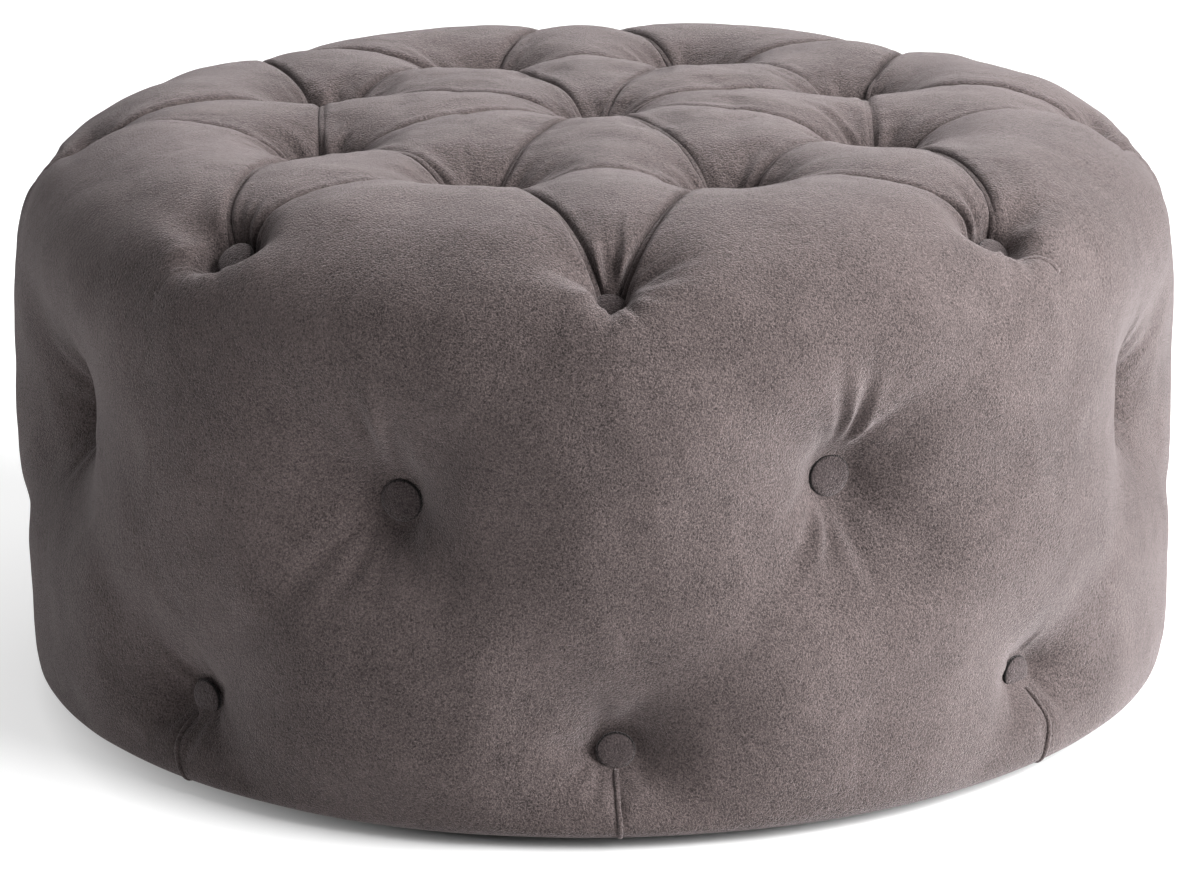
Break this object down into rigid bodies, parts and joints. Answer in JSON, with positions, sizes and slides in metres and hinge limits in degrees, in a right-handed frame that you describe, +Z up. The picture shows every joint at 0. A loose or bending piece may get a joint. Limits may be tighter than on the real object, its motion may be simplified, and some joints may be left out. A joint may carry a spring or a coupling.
{
  "type": "footstool",
  "caption": "Low round footstool, deep-buttoned velvet over a padded drum, with puffed diamonds over the top and rim and plain dimpled sides.",
  "frame": {"origin": "on the floor, under the middle of the stool", "axes": "+Z up; the front of the stool, as pictured, faces -Y; +X to the right of someone looking along +Y"},
  "size_m": [0.8, 0.8, 0.402],
  "materials": {
    "velvet": "taupe velvet with a soft sheen",
    "button_velvet": "taupe velvet stretched over a button",
    "foam": "open-cell cushion foam",
    "plywood": "raw birch plywood",
    "pine": "planed softwood",
    "fibreboard": "hard brown fibreboard",
    "black_cloth": "black non-woven cloth",
    "glide_plastic": "black matt plastic",
    "twine": "waxed upholstery twine",
    "toggle_plastic": "off-white matt plastic"
  },
  "bodies": {
    "root": {"base_board": "plywood", "top_board": "plywood", "drum_wall": "fibreboard", "foam_side": "foam", "foam_top": "foam", "velvet_cover": "velvet", "dust_cover": "black_cloth", "glides": "glide_plastic", "post_1": "pine", "post_2": "pine", "post_3": "pine", "post_4": "pine", "centre_buttons": "button_velvet", "centre_twines": "twine", "centre_toggles": "toggle_plastic", "ring_buttons": "button_velvet", "ring_twines": "twine", "ring_toggles": "toggle_plastic", "rim_buttons": "button_velvet", "rim_twines": "twine", "rim_toggles": "toggle_plastic", "middle_buttons": "button_velvet", "middle_twines": "twine", "middle_toggles": "toggle_plastic", "lower_buttons": "button_velvet", "lower_twines": "twine", "lower_toggles": "toggle_plastic"}
  },
  "joints": []
}
